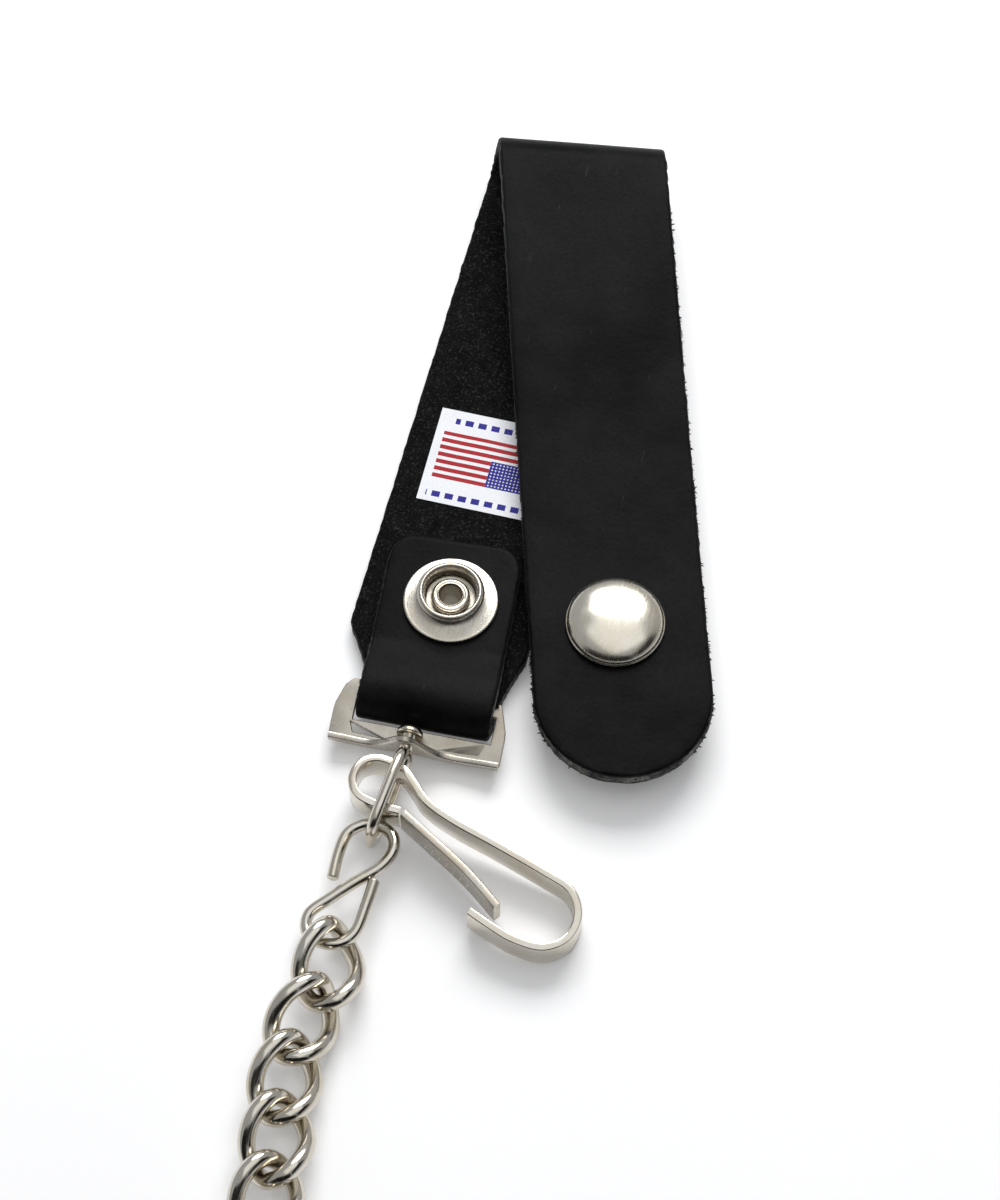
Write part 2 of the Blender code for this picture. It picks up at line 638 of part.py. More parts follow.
def main():
    clear_scene()
    leather = material("black_leather", (0.012, 0.012, 0.014), 0.0, 0.5)
    flap_leather = material("black_leather_flap", (0.014, 0.014, 0.016), 0.0, 0.45)
    paper = material("label_paper", (0.85, 0.86, 0.88), 0.0, 0.45)
    nickel = material("nickel", (0.62, 0.60, 0.56), 1.0, 0.2)

    back = add_strap_back(leather)
    add_strap_fold(leather)
    flap = add_strap_flap(flap_leather)
    at = add_snap(nickel)
    hole = [(0.0, -1.0), (2.5, -1.0), (2.5, 12.0), (0.0, 12.0)]
    verts, faces = lathe(hole, 32, (0.0, 0.0, 0.0))
    combine(back, "cut_stud_hole", verts, faces, leather, "DIFFERENCE")
    seat = [(0.0, -1.0), (5.4, -1.0), (5.4, 0.9), (0.0, 0.9)]
    verts, faces = lathe(seat, 32, (0.0, 0.0, 0.0))
    combine(back, "cut_eyelet_seat", verts, faces, leather, "DIFFERENCE")
    hole = [(0.0, 2.0), (1.9, 2.0), (1.9, 12.0), (0.0, 12.0)]
    verts, faces = lathe(hole, 24, (at.x, at.y, 0.0))
    combine(flap, "cut_cap_hole", verts, faces, flap_leather, "DIFFERENCE")

    # the label lies on the rear leaf and runs in under the flap
    x0, x1, y0, y1 = -10.2, 8.8, 18.2, 35.2
    corners = [(x0, y0), (x1, y0), (x1, y1), (x0, y1)]
    verts = [(x, y, z) for z in (LEATHER + 0.05, LEATHER + 0.2) for x, y in corners]
    faces = [(0, 1, 2, 3), (4, 5, 6, 7), (0, 1, 5, 4), (1, 2, 6, 5), (2, 3, 7, 6), (3, 0, 4, 7)]
    add_object("label", verts, faces, paper)

    add_plate(nickel)
    add_swivel(nickel)
    add_clip(nickel)
    add_hook("s_hook", nickel, (*HOOK_MIDDLE, HOOK_Z), 0.0, HOOK_PIVOT)
    places = add_chain(nickel)
    # the far hook holds the last link just as the near hook holds the first
    first, first_heading, first_roll = places[0]
    last, last_heading, last_roll = places[-1]
    turn = last_heading - first_heading + math.pi
    spin = Matrix.Rotation(turn, 3, "Z")
    end_at = last + spin @ (Vector((*HOOK_MIDDLE, HOOK_Z)) - first)
    end_pivot = last + spin @ (Vector(FIRST_PIVOT) - first)
    add_hook("end_hook", nickel, tuple(end_at), turn, tuple(end_pivot))


main()
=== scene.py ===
import math
import random

import bmesh
import bpy
from mathutils import Matrix, Vector, noise


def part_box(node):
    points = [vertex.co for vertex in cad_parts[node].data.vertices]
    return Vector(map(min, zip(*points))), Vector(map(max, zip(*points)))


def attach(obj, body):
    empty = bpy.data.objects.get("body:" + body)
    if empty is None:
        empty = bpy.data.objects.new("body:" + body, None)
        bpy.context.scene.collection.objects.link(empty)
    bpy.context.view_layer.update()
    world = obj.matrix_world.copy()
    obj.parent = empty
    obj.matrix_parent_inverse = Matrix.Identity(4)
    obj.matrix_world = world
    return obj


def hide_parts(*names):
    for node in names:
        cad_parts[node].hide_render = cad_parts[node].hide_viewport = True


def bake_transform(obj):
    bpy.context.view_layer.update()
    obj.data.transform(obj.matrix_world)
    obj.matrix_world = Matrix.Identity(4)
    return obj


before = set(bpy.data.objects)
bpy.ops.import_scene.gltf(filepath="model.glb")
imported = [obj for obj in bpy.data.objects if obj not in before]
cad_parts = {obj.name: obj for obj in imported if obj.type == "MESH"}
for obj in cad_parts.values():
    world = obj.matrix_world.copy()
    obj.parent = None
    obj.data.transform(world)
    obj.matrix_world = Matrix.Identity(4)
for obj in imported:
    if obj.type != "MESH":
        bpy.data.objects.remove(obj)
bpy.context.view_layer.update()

MM = 0.001

# shapes are worked out in millimetres from the point on the table under the snap stud
stud_low, stud_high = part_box("snap_stud")
SHAPE_AT = Vector(((stud_low.x + stud_high.x) / 2.0, (stud_low.y + stud_high.y) / 2.0, 0.0))

# leather strap
LEATHER = 3.0
STRAP_HALF = 13.45
TONGUE_HALF = 10.25
FOLD_TURN = math.radians(8.35)
FOLD_INNER = 2.8
FOLD_OUTER = FOLD_INNER + LEATHER
FOLD_ARC = math.pi * (FOLD_INNER + LEATHER / 2.0)
FLAP_LENGTH = 107.5
FLAP_LOW = 4.2
FLAP_SETTLE = 74.0
SHOULDER_TOP = -4.5
SHOULDER_FOOT = -15.5
LEAF_LEFT = -14.7
LEAF_RIGHT = 13.1
BEND_CENTRE = Vector((0.5, -16.4, 4.1))
BEND_INNER = 1.1
TONGUE_LEAN = math.radians(4.0)
TONGUE_END = 27.2
TONGUE_REST = 3.3
CORNER = 4.2
EDGE_ROUND = 0.55

FOLD_ALONG = Vector((math.cos(FOLD_TURN), math.sin(FOLD_TURN), 0.0))
FOLD_ACROSS = Vector((-math.sin(FOLD_TURN), math.cos(FOLD_TURN), 0.0))
FOLD_START = Vector((-1.05, 87.0, 0.0)) - FOLD_ACROSS * FOLD_OUTER

# metal
STUD_SEAT = TONGUE_REST + LEATHER + 0.3
PLATE_TILT = math.radians(14.0)
PLATE_FOOT = -24.0
PLATE_HALF = 13.0
PLATE_THICK = 1.2
PLATE_SHIFT = -0.6
POST = Vector((-0.6, 0.0, 5.5))
HEAD_SEAT = -22.95
EYE_TOP = -26.6
EYE_FOOT = -40.4
CLIP_THICK = 1.25
CLIP_HEIGHT = 5.2
CLIP_RING = (-2.8, -31.8)
HOOK_MIDDLE = Vector((-2.8, -47.1, 4.0))
HOOK_WIRE = 1.8
HOOK_ROLL = 0.15
WIRE_SIDES = 18
LINK_WIRE = 2.7
# the CAD's wire is six-sided and 2.7 across its corners, so the round wire is drawn thinner to keep the gaps
LINK_ROUND = 2.6
LINK_LENGTH = 14.85
LINK_WIDTH = 11.2
LINK_PITCH = 9.05
LINK_TWIST = math.radians(45.0)
LINK_STARTS = (
    (-3.0, -60.6, 4.0, 8.0, 18.0),
    (-4.3, -69.55, 4.0, -10.0, 24.0),
    (-4.45, -78.65, 4.0, 2.0, 17.0),
    (-3.3, -87.6, 3.95, 9.0, 8.0),
    (-2.3, -96.6, 3.85, 6.0, 2.0),
)
TAIL_LINKS = 11
TAIL_TURN = math.radians(11.0)


def ease(x):
    x = min(max(x, 0.0), 1.0)
    return x * x * (3.0 - 2.0 * x)


def steps_between(a, b, count):
    return [a + (b - a) * i / count for i in range(count + 1)]


# ---------------------------------------------------------------- materials


def add_node(tree, kind, settings=None, **inputs):
    """A node whose inputs are numbers, colours or other nodes' outputs, named with _ for a space."""
    node = tree.nodes.new(kind)
    for key, value in (settings or {}).items():
        setattr(node, key, value)
    for key, value in inputs.items():
        by_number = key[0] == "i" and key[1:].isdigit()
        socket = node.inputs[int(key[1:])] if by_number else node.inputs[key.replace("_", " ")]
        if isinstance(value, bpy.types.NodeSocket):
            tree.links.new(value, socket)
        else:
            socket.default_value = value
    return node


def math_node(tree, operation, a, b=0.0, clamp=False):
    settings = {"operation": operation, "use_clamp": clamp}
    return add_node(tree, "ShaderNodeMath", settings, i0=a, i1=b).outputs[0]


def mix_colour(tree, amount, a, b):
    node = add_node(tree, "ShaderNodeMix", {"data_type": "RGBA"})
    for socket, value in ((node.inputs[0], amount), (node.inputs[6], a), (node.inputs[7], b)):
        if isinstance(value, bpy.types.NodeSocket):
            tree.links.new(value, socket)
        else:
            socket.default_value = value
    return node.outputs[2]


def spread(tree, value, low, high, to_low, to_high):
    node = add_node(tree, "ShaderNodeMapRange", Value=value)
    for name, number in (("From Min", low), ("From Max", high), ("To Min", to_low), ("To Max", to_high)):
        node.inputs[name].default_value = number
    return node.outputs[0]


def new_material(name, metallic=0.0):
    mat = bpy.data.materials.new(name)
    mat.use_nodes = True
    tree = mat.node_tree
    shader = tree.nodes["Principled BSDF"]
    shader.inputs["Metallic"].default_value = metallic
    place = tree.nodes.new("ShaderNodeTexCoord").outputs["Object"]
    return mat, tree, shader, place


def noise_at(tree, place, size_mm, detail=3.0, rough=0.5, distortion=0.0):
    node = add_node(
        tree, "ShaderNodeTexNoise", Vector=place, Scale=1000.0 / size_mm, Detail=detail, Roughness=rough,
        Distortion=distortion,
    )
    return node.outputs[0]


def bumps(tree, shader, layers):
    """Bump from (height, depth in mm, strength) layers, each on top of the last."""
    normal = None
    for height, depth, strength in layers:
        node = add_node(tree, "ShaderNodeBump", Height=height, Distance=depth * MM, Strength=strength)
        if normal is not None:
            tree.links.new(normal, node.inputs["Normal"])
        normal = node.outputs[0]
    tree.links.new(normal, shader.inputs["Normal"])


def grain_leather():
    """Smooth finished side: fine pores, soft creases and a few pale scuffs."""
    mat, tree, shader, place = new_material("leather_grain")
    pores = add_node(tree, "ShaderNodeTexVoronoi", Vector=place, Scale=1000.0 / 0.75).outputs[0]
    cloud = noise_at(tree, place, 14.0, 4.0, 0.55)
    fine = noise_at(tree, place, 0.5, 4.0, 0.6)
    stretched = add_node(tree, "ShaderNodeMapping", Vector=place, Scale=(1, 0.12, 1), Rotation=(0, 0, 0.5))
    scuff = spread(tree, noise_at(tree, stretched.outputs[0], 1.3, 5.0, 0.65), 0.66, 0.76, 0.0, 1.0)
    scuff = math_node(tree, "MULTIPLY", scuff, spread(tree, cloud, 0.52, 0.66, 0.0, 0.6), True)
    base = mix_colour(
        tree,
        spread(tree, cloud, 0.38, 0.64, 0.0, 1.0),
        (0.0016, 0.0016, 0.0019, 1),
        (0.0088, 0.0087, 0.0092, 1),
    )
    pored = mix_colour(tree, spread(tree, pores, 0.05, 0.4, 0.55, 0.0), base, (0.0012, 0.0012, 0.0014, 1))
    turned = add_node(tree, "ShaderNodeMapping", Vector=place, Scale=(1.0, 0.05, 1.0), Rotation=(0, 0, -0.35))
    line = spread(tree, noise_at(tree, turned.outputs[0], 0.45, 2.0, 0.5), 0.735, 0.76, 0.0, 0.7)
    speck = spread(tree, noise_at(tree, place, 0.55, 2.0, 0.5), 0.765, 0.79, 0.0, 0.8)
    marks = math_node(tree, "MAXIMUM", scuff, math_node(tree, "MAXIMUM", line, speck))
    tree.links.new(mix_colour(tree, marks, pored, (0.034, 0.031, 0.029, 1)), shader.inputs["Base Color"])
    shine = math_node(
        tree, "ADD", spread(tree, cloud, 0.3, 0.7, 0.40, 0.50), spread(tree, fine, 0.3, 0.7, -0.04, 0.05)
    )
    tree.links.new(shine, shader.inputs["Roughness"])
    shader.inputs["Specular IOR Level"].default_value = 0.045
    bumps(tree, shader, ((cloud, 0.8, 0.3), (pores, 0.045, 0.35), (fine, 0.035, 0.4)))
    return mat


def flesh_leather():
    """Unfinished side: a rough nap with pale flecks where fibres catch the light."""
    mat, tree, shader, place = new_material("leather_flesh")
    nap = noise_at(tree, place, 0.55, 6.0, 0.75)
    clump = noise_at(tree, place, 2.2, 5.0, 0.7)
    fleck = spread(tree, noise_at(tree, place, 0.32, 3.0, 0.6), 0.56, 0.68, 0.0, 1.0)
    base = mix_colour(
        tree,
        spread(tree, clump, 0.35, 0.65, 0.0, 1.0),
        (0.0015, 0.0015, 0.0017, 1),
        (0.0070, 0.0070, 0.0072, 1),
    )
    tree.links.new(
        mix_colour(tree, math_node(tree, "MULTIPLY", fleck, 0.55), base, (0.070, 0.069, 0.066, 1)),
        shader.inputs["Base Color"],
    )
    tree.links.new(spread(tree, nap, 0.3, 0.7, 0.62, 0.9), shader.inputs["Roughness"])
    shader.inputs["Specular IOR Level"].default_value = 0.06
    bumps(tree, shader, ((clump, 0.35, 0.7), (nap, 0.25, 0.9)))
    return mat


def raw_edge(name, pale):
    """Cut edge: black dye over grey-green fibres that show in patches."""
    mat, tree, shader, place = new_material(name)
    fibre = noise_at(tree, place, 0.35, 6.0, 0.8, 0.6)
    patch = noise_at(tree, place, 5.0, 3.0, 0.6)
    bare = math_node(
        tree,
        "MULTIPLY",
        spread(tree, patch, 0.42, 0.58, 0.0, 1.0),
        spread(tree, fibre, 0.4, 0.6, 0.1, 1.0),
        True,
    )
    # the dye has worn off most towards the strap's lower end
    height = add_node(tree, "ShaderNodeSeparateXYZ", Vector=place).outputs[1]
    bare = math_node(tree, "MULTIPLY", bare, spread(tree, height, -0.056, -0.046, 1.0, 0.06))
    tree.links.new(mix_colour(tree, bare, (0.003, 0.003, 0.0033, 1), pale), shader.inputs["Base Color"])
    tree.links.new(spread(tree, fibre, 0.3, 0.7, 0.7, 0.95), shader.inputs["Roughness"])
    bumps(tree, shader, ((fibre, 0.25, 0.9),))
    return mat


def nickel(name, color, rough_low, rough_high, pit=0.2, scratch=0.1):
    """Plated metal: uneven polish, fine pits, hairline scratches and slightly warm stains."""
    mat, tree, shader, place = new_material(name, 1.0)
    cloud = noise_at(tree, place, 6.0, 4.0, 0.6)
    pits = noise_at(tree, place, 0.2, 3.0, 0.65)
    stretched = add_node(
        tree, "ShaderNodeMapping", Vector=place, Scale=(1.0, 0.05, 0.3), Rotation=(0.2, 0.1, 0.7)
    )
    lines = noise_at(tree, stretched.outputs[0], 0.25, 4.0, 0.7)
    warm = tuple(c * k for c, k in zip(color, (0.86, 0.81, 0.72)))
    stain = mix_colour(tree, spread(tree, cloud, 0.42, 0.68, 0.0, 0.75), (*color, 1), (*warm, 1))
    speck = spread(tree, pits, 0.56, 0.68, 0.0, 0.12 + 0.3 * pit)
    dark = tuple(c * 0.35 for c in color)
    tree.links.new(mix_colour(tree, speck, stain, (*dark, 1)), shader.inputs["Base Color"])
    worn = math_node(
        tree,
        "ADD",
        spread(tree, cloud, 0.35, 0.65, rough_low, rough_high),
        spread(tree, lines, 0.45, 0.7, 0.0, 0.09),
    )
    tree.links.new(worn, shader.inputs["Roughness"])
    bumps(tree, shader, ((cloud, 0.05, 0.3), (pits, 0.03, pit), (lines, 0.02, scratch)))
    return mat


def label_print():
    """White label with red stripes, a dotted blue block, and plain dashes where the lettering would be."""
    mat, tree, shader, place = new_material("label_print")
    uv = add_node(tree, "ShaderNodeUVMap", {"uv_map": "flat"}).outputs[0]
    parts = add_node(tree, "ShaderNodeSeparateXYZ", Vector=uv)
    u, v = parts.outputs[0], parts.outputs[1]

    def between(value, low, high):
        above = math_node(tree, "GREATER_THAN", value, low)
        below = math_node(tree, "LESS_THAN", value, high)
        return math_node(tree, "MULTIPLY", above, below)

    def both(a, b):
        return math_node(tree, "MULTIPLY", a, b)

    block = both(between(u, 0.52, 0.94), between(v, 0.26, 0.54))
    field = both(between(u, 0.07, 0.94), between(v, 0.26, 0.76))
    turns = math_node(
        tree, "FRACT", math_node(tree, "MULTIPLY", math_node(tree, "SUBTRACT", v, 0.26), 6.5 / 0.50)
    )
    stripe = both(field, math_node(tree, "LESS_THAN", turns, 0.56))
    across = math_node(tree, "FRACT", math_node(tree, "MULTIPLY", u, 34.0))
    along = math_node(tree, "FRACT", math_node(tree, "MULTIPLY", v, 30.0))
    far_u = math_node(tree, "ABSOLUTE", math_node(tree, "SUBTRACT", across, 0.5))
    far_v = math_node(tree, "ABSOLUTE", math_node(tree, "SUBTRACT", along, 0.5))
    dot = math_node(tree, "LESS_THAN", math_node(tree, "ADD", far_u, far_v), 0.3)
    beat = math_node(tree, "LESS_THAN", math_node(tree, "FRACT", math_node(tree, "MULTIPLY", u, 9.0)), 0.62)
    foot = both(between(v, 0.055, 0.115), both(between(u, 0.06, 0.92), beat))
    head = both(between(v, 0.855, 0.915), both(between(u, 0.14, 0.72), beat))
    fibre = noise_at(tree, place, 0.4, 4.0, 0.6)
    paper = mix_colour(
        tree, spread(tree, fibre, 0.3, 0.7, 0.0, 1.0), (0.78, 0.80, 0.84, 1), (0.90, 0.91, 0.93, 1)
    )
    blue = (0.012, 0.008, 0.240, 1)
    colour = mix_colour(tree, stripe, paper, (0.380, 0.004, 0.010, 1))
    colour = mix_colour(tree, block, colour, blue)
    colour = mix_colour(tree, both(block, dot), colour, (0.70, 0.72, 0.80, 1))
    colour = mix_colour(tree, math_node(tree, "MAXIMUM", foot, head), colour, blue)
    tree.links.new(colour, shader.inputs["Base Color"])
    tree.links.new(spread(tree, fibre, 0.3, 0.7, 0.36, 0.5), shader.inputs["Roughness"])
    shader.inputs["Specular IOR Level"].default_value = 0.15
    bumps(tree, shader, ((fibre, 0.03, 0.3),))
    return mat


GRAIN = grain_leather()
FLESH = flesh_leather()
EDGE = raw_edge("leather_cut_edge", (0.270, 0.275, 0.240, 1))
FIBRE = raw_edge("leather_fibre", (0.018, 0.018, 0.017, 1))
SATIN = nickel("nickel_satin", (0.50, 0.47, 0.415), 0.22, 0.32, 0.8, 0.04)
BRIGHT = nickel("nickel_bright", (0.66, 0.625, 0.555), 0.09, 0.17, 0.12, 0.06)
CAP = nickel("nickel_cap", (0.74, 0.70, 0.61), 0.17, 0.25, 0.3, 0.04)


# ---------------------------------------------------------------- building


def make(name, verts, faces, mats, body, nodes, smooth=True, slots=None, seat=True):
    """A piece from millimetre points, set on its CAD node's box unless seat is off."""
    mesh = bpy.data.meshes.new(name)
    mesh.from_pydata([Vector(v) * MM + SHAPE_AT for v in verts], [], faces)
    for mat in mats:
        mesh.materials.append(mat)
    for index, face in enumerate(mesh.polygons):
        face.use_smooth = smooth
        if slots:
            face.material_index = slots[index]
    bm = bmesh.new()
    bm.from_mesh(mesh)
    bmesh.ops.remove_doubles(bm, verts=bm.verts, dist=2e-6)
    bmesh.ops.recalc_face_normals(bm, faces=bm.faces)
    bm.to_mesh(mesh)
    bm.free()
    piece = bpy.data.objects.new(name, mesh)
    bpy.context.scene.collection.objects.link(piece)
    if seat:
        low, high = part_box(nodes[0])
        xs = [[v.co[k] for v in mesh.vertices] for k in range(3)]
        middle = Vector([(min(c) + max(c)) / 2.0 for c in xs])
        move = (low + high) / 2.0 - middle
        if move.length > 0.0005:
            print("far from its node:", name, [round(c / MM, 2) for c in move])
        mesh.transform(Matrix.Translation(move))
    if nodes:
        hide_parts(*nodes)
    if body:
        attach(piece, body)
    return piece


def loft(rows, closed=False):
    n = len(rows[0])
    verts = [p for row in rows for p in row]
    faces = []
    count = len(rows)
    for i in range(count if closed else count - 1):
        j = (i + 1) % count
        for k in range(n):
            m = (k + 1) % n
            faces.append((i * n + k, i * n + m, j * n + m, j * n + k))
    if not closed:
        faces.append(tuple(range(n)))
        faces.append(tuple((count - 1) * n + k for k in range(n)))
    return verts, faces


def lathe(profile, sides, centre, axis="Z"):
    rows = []
    for i in range(sides):
        a = 2.0 * math.pi * i / sides
        row = []
        for r, h in profile:
            p = Vector((r * math.cos(a), r * math.sin(a), h))
            if axis == "Y":
                p = Vector((p.x, p.z, -p.y))
            row.append(p + Vector(centre))
        rows.append(row)
    return loft(rows, closed=True)


def smooth_path(points, steps, closed=False):
    pts = [Vector(p) for p in points]
    n = len(pts)
    out = []
    for i in range(n if closed else n - 1):
        if closed:
            a, b, c, d = (pts[(i + k) % n] for k in (-1, 0, 1, 2))
        else:
            a, b, c, d = (pts[min(max(i + k, 0), n - 1)] for k in (-1, 0, 1, 2))
        for s in range(steps):
            t = s / steps
            out.append(
                0.5 * (2 * b + (c - a) * t + (2 * a - 5 * b + 4 * c - d) * t * t + (3 * b - a - 3 * c + d) * t**3)
            )
    if not closed:
        out.append(pts[-1])
    return out


def wire(path, radius, sides, closed=False):
    """A round wire along a path. An open wire has its cut ends chamfered."""
    n = len(path)
    tangents = []
    for i in range(n):
        if closed:
            t = path[(i + 1) % n] - path[i - 1]
        else:
            t = path[min(i + 1, n - 1)] - path[max(i - 1, 0)]
        tangents.append(t.normalized())
    start = Vector((0, 0, 1)) if abs(tangents[0].z) < 0.9 else Vector((1, 0, 0))
    side = tangents[0].cross(start).normalized()
    sides_at = [side]
    for i in range(1, n):
        side = tangents[i - 1].rotation_difference(tangents[i]) @ side
        sides_at.append(side)
    drift = 0.0
    if closed:
        last = tangents[-1].rotation_difference(tangents[0]) @ side
        first = sides_at[0]
        drift = math.atan2(last.cross(first).dot(tangents[0]), last.dot(first))
    rows = []
    for i in range(n):
        u = Matrix.Rotation(drift * i / n, 3, tangents[i]) @ sides_at[i]
        v = tangents[i].cross(u)
        rings = [(0.0, 1.0)]
        if not closed and i == 0:
            rings = [(0.0, 0.80), (0.07, 0.95), (0.2, 1.0)]
        if not closed and i == n - 1:
            rings = [(-0.2, 1.0), (-0.07, 0.95), (0.0, 0.80)]
        for along, size in rings:
            at = path[i] + tangents[i] * along
            row = []
            for k in range(sides):
                a = 2.0 * math.pi * k / sides
                row.append(at + radius * size * (math.cos(a) * u + math.sin(a) * v))
            rows.append(row)
    return loft(rows, closed)


# ---------------------------------------------------------------- strap


def strap_limits(s):
    tan = math.tan(FOLD_TURN)
    middle = s * tan
    half = STRAP_HALF / math.cos(FOLD_TURN)
    left, right = middle - half, middle + half
    reach = FOLD_ARC + FLAP_LENGTH - STRAP_HALF
    centre = reach * tan
    lean = STRAP_HALF * math.sin(FOLD_TURN)
    if s > reach - lean:
        span = math.sqrt(max(STRAP_HALF**2 - (s - reach) ** 2, 0.05))
        if s > reach + lean:
            return centre - span, centre + span
        return left, centre + span
    return left, right


def flap_height(d):
    return FLAP_LOW + (FOLD_OUTER + FOLD_INNER - FLAP_LOW) * (1.0 - ease(d / FLAP_SETTLE))


def strap_point(s, u, depth):
    if s <= FOLD_ARC:
        a = max(s, 0.0) / (FOLD_INNER + LEATHER / 2.0)
        r = FOLD_OUTER - LEATHER * depth
        w = min(s, 0.0) + r * math.sin(a)
        return FOLD_START + FOLD_ALONG * u + FOLD_ACROSS * w + Vector((0, 0, FOLD_OUTER - r * math.cos(a)))
    d = s - FOLD_ARC
    slope = (flap_height(d + 0.5) - flap_height(d - 0.5)) if d > 0.5 else 0.0
    tilt = Vector((0.0, slope, 1.0)).normalized()
    lift = LEATHER * (1.0 - depth)
    across = FOLD_ACROSS * (lift * tilt.y - d)
    return FOLD_START + FOLD_ALONG * u + across + Vector((0, 0, flap_height(d) + lift * tilt.z))


def strap_corners(s):
    left, right = strap_limits(s)
    return [
        strap_point(s, left, 0.0),
        strap_point(s, right, 0.0),
        strap_point(s, left, 1.0),
        strap_point(s, right, 1.0),
    ]


INSETS = (0.0, 0.06, 0.17, 0.33, 0.55)
ACROSS = 14


def edge_depth(e):
    """How far the surface has rounded away, at a distance e in from the cut edge."""
    e = min(e, EDGE_ROUND)
    return 0.20 * (1.0 - math.sqrt(max(1.0 - (1.0 - e / EDGE_ROUND) ** 2, 0.0)))


def ripple(p):
    """Slow unevenness of the hide, along its thickness, in mm."""
    return 0.10 * noise.noise(Vector((p.x * 0.09, p.y * 0.09, p.z * 0.09)))


def fray(p):
    return 0.16 * noise.noise(p * 1.9) + 0.10 * noise.noise(p * 5.3)


def leather_piece(name, rows, end_gaps, body, nodes, seat=True):
    """A thick strip from rows of four corners: grain left and right, flesh left and right.

    end_gaps is how far each row is from a cut end, where the surface rounds over as at the sides."""
    verts = []
    for (gl, gr, fl, fr), gap in zip(rows, end_gaps):
        width = max((gr - gl).length, 0.02)
        shrink = min(1.0, width / 4.0)
        ins = [i * shrink for i in INSETS]
        inner = steps_between(ins[-1], width - ins[-1], ACROSS)
        xs = ins[:-1] + inner + [width - i for i in reversed(ins[:-1])]
        thick = (fl - gl).normalized()
        out = (gr - gl).normalized()
        top = []
        foot = []
        for x in xs:
            e = min(min(x, width - x) / max(shrink, 0.2), gap)
            share = x / width
            g = gl.lerp(gr, share)
            f = fl.lerp(fr, share)
            sink = edge_depth(e)
            rim = 1.0 - min(min(x, width - x) / EDGE_ROUND, 1.0)
            push = out * (fray((g + f) * 0.5) * rim * (-1.0 if x < width / 2.0 else 1.0) * shrink)
            lift = thick * ripple(g)
            top.append(g.lerp(f, sink) + lift + push)
            foot.append(g.lerp(f, 1.0 - sink) + lift + push)
        side_right = [top[-1].lerp(foot[-1], 0.5) + out * (0.12 * shrink)]
        side_left = [foot[0].lerp(top[0], 0.5) - out * (0.12 * shrink)]
        verts.append(top + side_right + list(reversed(foot)) + side_left)
    n = len(verts[0])
    points, faces = loft(verts)
    top_count = len(INSETS) * 2 + ACROSS - 1
    slots = []
    for _ in range(len(verts) - 1):
        for k in range(n):
            if k < top_count - 1:
                slots.append(0)
            elif k < top_count + 1:
                slots.append(2)
            elif k < n - 2:
                slots.append(1)
            else:
                slots.append(2)
    slots += [2, 2]
    piece = make(name, points, faces, [GRAIN, FLESH, EDGE], body, nodes, slots=slots, seat=seat)
    piece.data.set_sharp_from_angle(angle=math.radians(50))
    return piece


def leaf_edges(y):
    if y > SHOULDER_TOP:
        left, right = strap_limits(0.0)
        top_left = FOLD_START + FOLD_ALONG * left
        top_right = FOLD_START + FOLD_ALONG * right
        a = (y - SHOULDER_TOP) / (top_left.y - SHOULDER_TOP)
        b = (y - SHOULDER_TOP) / (top_right.y - SHOULDER_TOP)
        return LEAF_LEFT + (top_left.x - LEAF_LEFT) * a, LEAF_RIGHT + (top_right.x - LEAF_RIGHT) * b
    t = min((SHOULDER_TOP - y) / (SHOULDER_TOP - SHOULDER_FOOT), 1.0)
    narrow = math.sin(t * math.pi / 2.0) ** 1.2
    left = LEAF_LEFT + (BEND_CENTRE[0] - TONGUE_HALF - LEAF_LEFT) * narrow
    right = LEAF_RIGHT + (BEND_CENTRE[0] + TONGUE_HALF - LEAF_RIGHT) * narrow
    return left, right


def tongue_height(d):
    top = BEND_CENTRE[2] + BEND_INNER
    return TONGUE_REST + (top - TONGUE_REST) * (1.0 - ease(d / 9.0))


